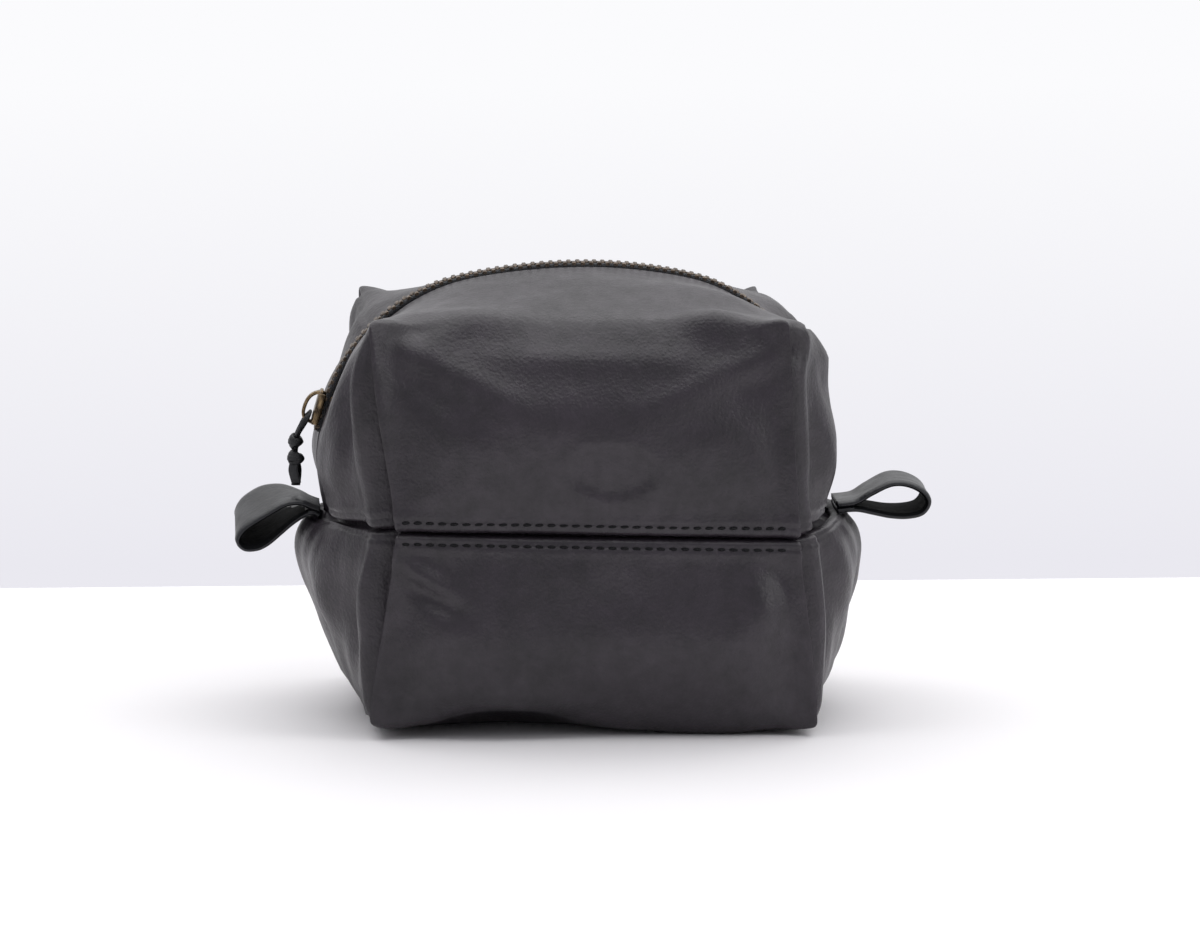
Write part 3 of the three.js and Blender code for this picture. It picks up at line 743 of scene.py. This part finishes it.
TOOTH_PITCH = 2.5
LAST_TOOTH = SLIDER_AT + 2.7
CHAIN_END = SLIDER_AT + 6.4
FAR_END = SLIDER_AT + 14
ROW_SPLIT = -TRAVEL_END + 1.6
CORD_AT = 2.9  # the thick woven edge of each tape, that the teeth are clamped on
CORD_BELOW = 0.35
CORD_THICK = 1.9
CORD_STEPS = 120
STOP_TALL = 2.5


def zip_frame(s, depth):
    """(place, along, out) on the zip in space."""
    x, z, slope = zip_line(s, depth)
    return (Vector((x, 0, z)), Vector((math.cos(slope), 0, -math.sin(slope))),
            Vector((math.sin(slope), 0, math.cos(slope))))


TOOTH_SECTION = rounded_outline(1, 1, 1, 0.16)
# Along the tooth from its nose: how far across the tape, how long on the chain and how thick, in millimetres
TOOTH_STEPS = ((-0.95, 0.6, 1.1), (-0.75, 0.84, 1.5), (-0.1, 1.12, 1.8), (0.8, 1.0, 1.75), (2.1, 1.3, 1.95),
               (3.5, 1.25, 1.9), (3.75, 1.0, 1.6))


def add_tooth(bm, s, sign):
    """One stamped tooth: two arms closed on the cord, a waist, and a nose that reaches past the middle."""
    place, run, out = zip_frame(s, CHAIN_DEPTH)
    sweep(bm, TOOTH_SECTION, [(place + Vector((0, sign * across, 0)), run * long, out * thick)
                              for across, long, thick in TOOTH_STEPS])


def tooth_row(name, node, sign, start, end, phase, lip):
    """One tape's teeth between two places on the zip; a row at the mouth has its place baked in, and the others
    go with the bag.
    """
    bm = bmesh.new()
    first = math.ceil((start - phase) / TOOTH_PITCH)
    last = math.floor((end - phase) / TOOTH_PITCH)
    for k in range(first, last + 1):
        add_tooth(bm, k * TOOTH_PITCH + phase, sign)
    bmesh.ops.recalc_face_normals(bm, faces=bm.faces[:])
    obj = settle(scaled_object(name, bm, TEETH_METAL, smooth=False), node)
    if lip:
        open_with_zip(obj)
    else:
        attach(obj, "bag")


def zip_cord(name, sign):
    """The corded edge: a thick woven bead that the tape is folded round."""
    bm = bmesh.new()
    frames = []
    for k in range(CORD_STEPS + 1):
        place, _, out = zip_frame(lerp(-CHAIN_END, FAR_END, k / CORD_STEPS), CHAIN_DEPTH + CORD_BELOW)
        frames.append((place + Vector((0, sign * CORD_AT, 0)), Vector((0, 1, 0)), out))
    sweep(bm, rounded_outline(CORD_THICK, CORD_THICK), frames)
    bmesh.ops.recalc_face_normals(bm, faces=bm.faces[:])
    obj = scaled_object(name, bm, TAPE)
    open_with_zip(obj)


def zip_stop(name, node, s, sign, across, long, lip):
    """A stamped stop: a small U of metal squeezed on the tape, with softened edges and a pressed groove."""
    place, run, out = zip_frame(s, CHAIN_DEPTH)
    bm = bmesh.new()
    bmesh.ops.create_cube(bm, size=1)
    bmesh.ops.subdivide_edges(bm, edges=bm.edges[:], cuts=4, use_grid_fill=True)
    for vert in bm.verts:
        x, y, z = vert.co
        swell = 1 - 0.35 * (2 * x) ** 2 * (2 * y) ** 2
        groove = 0.16 * bell(y, 0.12) * (1 if abs(z) > 0.45 else 0)
        vert.co = (place + run * (x * long * swell) + out * (z * STOP_TALL - math.copysign(groove, z))
                   + Vector((0, sign * (across[0] + across[1]) / 2 + y * (across[1] - across[0]) * swell, 0)))
    rim = [e for e in bm.edges if e.calc_face_angle(0) > 0.9]
    bmesh.ops.bevel(bm, geom=rim, offset=0.3, affect="EDGES", segments=3, profile=0.5, material=-1,
                    clamp_overlap=True)
    obj = settle(scaled_object(name, bm, TEETH_METAL), node)
    if lip:
        open_with_zip(obj)
    else:
        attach(obj, "bag")


for sign, word, phase in ((-1, "front", 0.0), (1, "back", TOOTH_PITCH / 2)):
    row = "zip_teeth_" + word
    tooth_row(word + "_zip_teeth_left", row, sign, -LAST_TOOTH, ROW_SPLIT, phase, True)
    tooth_row(word + "_zip_teeth_right", row + "_far", sign, ROW_SPLIT, FAR_END - 4, phase, False)
    zip_cord(word + "_zip_cord", sign)
    zip_stop(word + "_zip_top_stop", "zip_top_stop_" + word, -LAST_TOOTH - 2.4, sign, (0.9, 3.8), 2.2, True)
zip_stop("zip_end_stop", "zip_bottom_stop", FAR_END - 2.4, 1, (-3.4, 3.4), 2.6, False)


# ---- The slider: a cast body on the chain, with a bridge that carries the pull

HOME, UP_CHAIN, OUTWARD = zip_frame(-SLIDER_AT, CHAIN_DEPTH)
ACROSS = Vector((0, 1, 0))
PLATE_POINTS = 40
PLATE_SQUARENESS = 3.4  # 2 is an ellipse, and more is nearer a rectangle


def in_slider(x, y, n):
    """A place in the slider's own directions: up the chain, across it and outwards."""
    return HOME + UP_CHAIN * x + ACROSS * y + OUTWARD * n


def add_plate(bm, low, high, swell, half_length=5.2, half_width=4.6):
    """A shield-shaped plate, wider where the two rows come in, with soft edges and a slightly domed face."""
    outline = []
    for k in range(PLATE_POINTS):
        angle = 2 * math.pi * k / PLATE_POINTS
        c, s = math.cos(angle), math.sin(angle)
        reach = (abs(c) ** PLATE_SQUARENESS + abs(s) ** PLATE_SQUARENESS) ** (-1 / PLATE_SQUARENESS)
        x = half_length * c * reach
        y = half_width * s * reach * (1 - 0.07 * (1 - x / half_length)) * (1 - 0.1 * bell(x + 1.2, 2.2))
        outline.append(bm.verts.new((x, y, low)))
    face = bm.faces.new(outline)
    raised = bmesh.ops.extrude_face_region(bm, geom=[face])["geom"]
    top = [g for g in raised if isinstance(g, bmesh.types.BMFace)][0]
    bmesh.ops.translate(bm, vec=(0, 0, high - low), verts=top.verts[:])
    for inset, share in ((1.0, 1), (1.4, 0.4)):
        bmesh.ops.inset_individual(bm, faces=[top], thickness=inset, depth=swell * share)


def slider_body():
    """Two plates with side flanges and a post between them."""
    bm = bmesh.new()
    add_plate(bm, 1.35, 2.1, 0.3)
    bmesh.ops.recalc_face_normals(bm, faces=bm.faces[:])
    under = bmesh.new()
    add_plate(under, 1.6, 2.35, 0.25, 5.0, 4.4)
    bmesh.ops.scale(under, vec=(1, 1, -1), verts=under.verts[:])
    bmesh.ops.recalc_face_normals(under, faces=under.faces[:])
    spare = bpy.data.meshes.new("spare")
    under.to_mesh(spare)
    under.free()
    bm.from_mesh(spare)
    bpy.data.meshes.remove(spare)
    # The side flanges fold in over the chain, and the post joins the plates between the two incoming rows
    for side in (-1, 1):
        for level, tall in ((1.15, 1.5), (-1.55, 1.1)):
            frames = [(Vector((x, side * (4.35 - 0.35 * bell(x + 1.2, 2.4)), level)), ACROSS, Vector((0, 0, 1)))
                      for x in (-4.6, -3.4, -2.2, -1, 0.2, 1.6, 3.0, 4.2)]
            sweep(bm, rounded_outline(0.85, tall, 2, 0.3), frames)
    frames = [(Vector((-3.85, 0, n)), Vector((1, 0, 0)), ACROSS) for n in (-1.9, -0.6, 0.6, 1.9)]
    sweep(bm, rounded_outline(1.2, 1.0, 2, 0.4), frames)
    bmesh.ops.recalc_face_normals(bm, faces=bm.faces[:])
    sharp = [e for e in bm.edges if len(e.link_faces) == 2 and e.calc_face_angle(0) > 1.0]
    bmesh.ops.bevel(bm, geom=sharp, offset=0.16, affect="EDGES", segments=2, profile=0.5, material=-1,
                    clamp_overlap=True)
    for vert in bm.verts:
        vert.co = in_slider(*vert.co)
    bmesh.ops.recalc_face_normals(bm, faces=bm.faces[:])
    body = scaled_object("zip_slider_body", bm, SLIDER_METAL)
    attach(settle(body, "slider_body"), "slider")


def slider_bridge():
    """A cast arch with splayed feet, flat on top, high enough for the thong."""
    bm = bmesh.new()
    profile = [(-4.5, 0, 2.1), (-4.3, 0, 3.3), (-3.7, 0, 4.5), (-2.5, 0, 5.1), (-0.9, 0, 5.2), (0.9, 0, 5.0),
               (2.4, 0, 4.4), (3.5, 0, 3.4), (4.2, 0, 2.1)]
    line = smooth_line(profile, 36)
    frames = []
    for place, side, out in frames_along(line, ACROSS):
        flare = 1 + 0.5 * ramp(3.2 - place.z, 0, 1.1)
        frames.append((place, side * flare, out))
    sweep(bm, rounded_outline(2.3, 0.95, 3, 0.33), frames)
    for vert in bm.verts:
        vert.co = in_slider(*vert.co)
    bmesh.ops.recalc_face_normals(bm, faces=bm.faces[:])
    bridge = scaled_object("zip_slider_bridge", bm, SLIDER_METAL)
    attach(settle(bridge, "slider_bridge"), "slider")


slider_body()
slider_bridge()


# ---- The pull: a leather thong looped through the bridge, knotted twice, with two flat tails

EYE = in_slider(-2.3, 0, 3.6)


def strand(bm, points, width, thickness, across, steps, closed=False):
    """A soft flat strand through points, with rounded edges; a closed one is a ring."""
    if closed:
        line = [along(points[-1:] + points + points[:2], (1 + k / steps * len(points)) / (len(points) + 2))
                for k in range(steps)]
        frames = []
        for i, place in enumerate(line):
            tangent = (line[(i + 1) % steps] - line[i - 1]).normalized()
            side = (across - tangent * across.dot(tangent)).normalized()
            frames.append((place, side, tangent.cross(side)))
    else:
        frames = frames_along(smooth_line(points, steps), across)
    sweep(bm, rounded_outline(width, thickness, 2), frames, closed)


def add_knot(bm, centre, half_size, turn):
    """An overhand knot drawn tight: wraps of the thong crossing each other over a full middle."""
    made = bmesh.ops.create_icosphere(bm, subdivisions=3, radius=1)["verts"]
    for vert in made:
        bumpy = 0.78 * (1 + 0.1 * noise.noise(vert.co * 2 + centre))
        vert.co = centre + Vector([c * h * bumpy for c, h in zip(vert.co, half_size)])
    for tilt, shift, slim in ((38, 0.245, 0.8832), (-34, -0.35, 0.92), (4, -0.07, 0.828)):
        spin_to = Euler((math.radians(tilt * 0.5), math.radians(tilt), math.radians(turn))).to_matrix()
        wrap = []
        for k in range(10):
            angle = 2 * math.pi * k / 10
            at = Vector((math.cos(angle) * half_size.x * slim, math.sin(angle) * half_size.y * slim,
                         shift * half_size.z))
            wrap.append(centre + spin_to @ at)
        strand(bm, wrap, 1.75, 0.85, spin_to @ Vector((0, 0, 1)), 36, True)


def thong_pull():
    """The loop through the bridge, the two knots and what hangs from them, all placed from the bridge's eye."""
    bm = bmesh.new()
    legs = [Vector(p) for p in ((-3.7, 0.5, -7.4), (-2.9, 1.5, -5.4), (-1.9, 2.05, -3.6), (-0.6, 2.1, -1.3),
                                (0.1, 1.5, -0.1), (0.2, 0, 0.2))]
    legs += [Vector((p.x, -p.y, p.z)) for p in reversed(legs[:-1])]
    strand(bm, [EYE + p for p in legs], 1.7, 0.85, Vector((0.75, 0, 0.66)), 44)
    add_knot(bm, EYE + Vector((-3.9, 0, -7.9)), Vector((1.75, 2.2, 2.3)), 0)
    add_knot(bm, EYE + Vector((-3.9, 0, -12.6)), Vector((1.75, 2.2, 2.2)), 60)
    between = ((-3.7, 0.3, -9.4), (-3.9, 0.5, -10.4), (-3.9, 0.3, -11.6))
    near_tail = ((-3.8, 0.4, -14.0), (-3.3, 1.1, -16.0), (-3.4, 1.5, -18.4), (-3.7, 1.6, -20.5))
    far_tail = ((-4.0, -0.4, -14.0), (-4.4, -1.0, -15.8), (-4.0, -1.4, -17.8), (-3.5, -1.3, -19.6))
    for points, width, thick, across, steps in ((between, 1.9, 1.1, (1, 0.5, 0), 6),
                                                (near_tail, 3.1, 0.9, (0.75, 0.66, 0), 14),
                                                (far_tail, 3.0, 0.9, (0.85, -0.5, 0), 14)):
        strand(bm, [EYE + Vector(p) for p in points], width, thick, Vector(across), steps)
    bmesh.ops.recalc_face_normals(bm, faces=bm.faces[:])
    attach(settle(scaled_object("thong_zip_pull", bm, THONG), "pull_thong"), "pull")


thong_pull()


# ---- Strap loops, one sewn into each end seam

RIGHT_LOOP = ((70.5, 57.6), (75.9, 58.3), (80, 60.7), (85.5, 63.4), (90.2, 63.4), (94.4, 61.4), (96.1, 58.4),
              (94.3, 55.5), (90.3, 54.5), (85.5, 54.6), (80.5, 55.5), (75.9, 56.3), (70.5, 55.9))
LEFT_LOOP = ((-73.5, 57.4), (-75.9, 58.3), (-79, 59.7), (-83, 60.2), (-87, 59.2), (-91, 57.4), (-94.6, 54.8),
             (-96.1, 51.8), (-94.4, 49.7), (-91.3, 49.6), (-88, 50.7), (-84.5, 52.7), (-80.5, 54.9),
             (-75.9, 56.7), (-73.5, 55.9))
STRAP_WIDTH = 20
STRAP_THICKNESS = 1.5
STRAP_RIDGE = 0.15  # a burnished edge stands this much proud
STRAP_STEPS = 96


def strap_loop(name, node, centre, twist):
    """A strap folded back on itself, turned a little about its own length, with its edges burnished round."""
    bm = bmesh.new()
    ribs = [STRAP_WIDTH * (k / 10 - 0.5) for k in range(1, 10)]
    half = [(y, STRAP_THICKNESS / 2 + STRAP_RIDGE * bell(abs(y) - 8.3, 0.8)) for y in ribs]
    half += [(9.6, 0.62), (10, 0.2), (10, -0.2), (9.6, -0.62)]
    outline = half + [(-y, -n) for y, n in half]
    line = smooth_line([Vector((x, 0, z)) for x, z in centre], STRAP_STEPS)
    frames = []
    for place, _, out in frames_along(line, ACROSS):
        angle = math.radians(twist) * ramp(abs(place.x), 76, 91)
        frames.append((place, Vector((0, 1, math.tan(angle))), out))
    sweep(bm, outline, frames)
    bmesh.ops.recalc_face_normals(bm, faces=bm.faces[:])
    middle = Vector((sum(x for x, _ in centre) / len(centre), 0, sum(z for _, z in centre) / len(centre))) * MM
    obj = scaled_object(name, bm, STRAP)
    obj.data.materials.append(FLESH)
    for face in obj.data.polygons:
        towards = middle - face.center
        if Vector((towards.x, 0, towards.z)).normalized().dot(face.normal) > 0.1:
            face.material_index = 1
    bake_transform(settle(obj, node))


strap_loop("left_strap_loop", "left_loop", LEFT_LOOP, 17)
strap_loop("right_strap_loop", "right_loop", RIGHT_LOOP, 2)
SKIN.free()


# ---- Table, backdrop, light and camera

TABLE_BACK = 0.226
TABLE_REACH = 3
WALL_AT = 2.3
WALL_CORNER = (-5.75, WALL_AT, -2.16)
WALL_SIZE = (11.5, 7.2)
SHADE_FROM, SHADE_TO = -0.306, -0.019  # painted shade on the glowing wall: darker below the first height, near white above the second


def flat_stage(name, material, corner, along_edge, up_edge):
    """A plain sheet of stage, grown from one edge."""
    bm = bmesh.new()
    ends = [bm.verts.new(corner), bm.verts.new(Vector(corner) + Vector(along_edge))]
    edge = bm.edges.new(ends)
    grown = bmesh.ops.extrude_edge_only(bm, edges=[edge])["geom"]
    bmesh.ops.translate(bm, vec=up_edge, verts=[g for g in grown if isinstance(g, bmesh.types.BMVert)])
    mesh = bpy.data.meshes.new(name)
    bm.to_mesh(mesh)
    bm.free()
    mesh.materials.append(material)
    obj = bpy.data.objects.new(name, mesh)
    bpy.context.scene.collection.objects.link(obj)


def backdrop():
    """A white table, and a wall some way behind it that glows white on its own, with painted shade that greys
    it to a cool grey lower down.
    """
    paint = new_material("white_table_paint", Base_Color=colour("#f0eeef"), Roughness=0.6,
                         Specular_IOR_Level=0.25)
    flat_stage("white_table", paint, (-TABLE_REACH, -TABLE_REACH, 0), (2 * TABLE_REACH, 0, 0),
               (0, TABLE_REACH + TABLE_BACK, 0))
    wall = new_material("glowing_wall_with_painted_shade")
    place = add_node(wall, "ShaderNodeTexCoord").outputs["Object"]
    height = add_node(wall, "ShaderNodeSeparateXYZ", [(place, "Vector")]).outputs["Z"]
    # Painted shade: the wall's colour goes from a darker cool grey low down to near white higher up
    high = add_node(wall, "ShaderNodeMapRange", [(height, "Value")], From_Min=SHADE_FROM, From_Max=SHADE_TO)
    shade = add_node(wall, "ShaderNodeValToRGB", [(high.outputs[0], "Fac")],
                     [(0.0, "#eae9f0"), (1.0, "#fbfbfd")])
    # The wall glows instead of being lit: painted light, carrying the painted shade above
    glow = add_node(wall, "ShaderNodeEmission", [(shade.outputs["Color"], "Color")], Strength=1.0)
    wire(wall, "Material Output", Surface=glow.outputs[0])
    flat_stage("glowing_wall_with_painted_shade", wall, WALL_CORNER, (WALL_SIZE[0], 0, 0), (0, 0, WALL_SIZE[1]))


def softbox(name, place, aim, size, watts):
    """A plain white rectangular light, turned towards a place."""
    light = bpy.data.lights.new(name, "AREA")
    light.shape = "RECTANGLE"
    light.size, light.size_y = size
    light.energy = watts
    obj = bpy.data.objects.new(name, light)
    obj.location = place
    obj.rotation_euler = (Vector(aim) - Vector(place)).to_track_quat("-Z", "Y").to_euler()
    bpy.context.scene.collection.objects.link(obj)


AIM = Vector((0.0049, 0, 0.0671))
CAMERA_TURN, CAMERA_TILT = math.radians(-3.39), math.radians(7.84)
CAMERA_AWAY = 1.991


def camera():
    """A long lens from a little above the front, just left of its middle."""
    lens = bpy.data.cameras.new("camera")
    lens.lens = 214.2
    lens.sensor_width = 36
    obj = bpy.data.objects.new("camera", lens)
    back = Euler((-CAMERA_TILT, 0, CAMERA_TURN)).to_matrix() @ Vector((0, -1, 0))
    obj.location = AIM + back * CAMERA_AWAY
    obj.rotation_euler = (-back).to_track_quat("-Z", "Y").to_euler()
    bpy.context.scene.collection.objects.link(obj)
    bpy.context.scene.camera = obj


backdrop()
softbox("overhead", (0.0, 0.1, 1.2), (0, 0, 0.05), (2.2, 1.7), 19)
softbox("right_side", (1.3, -0.7, 0.7), (0, 0, 0.06), (0.8, 0.8), 4.4)
softbox("left_side", (-1.3, -0.7, 0.7), (0, 0, 0.06), (0.8, 0.8), 0.7)
world = bpy.data.worlds.new("studio")
world.use_nodes = True
world.node_tree.nodes["Background"].inputs["Color"].default_value = colour("#f2f3fb")
world.node_tree.nodes["Background"].inputs["Strength"].default_value = 0.42
bpy.context.scene.world = world
bpy.context.scene.view_settings.view_transform = "Standard"
camera()
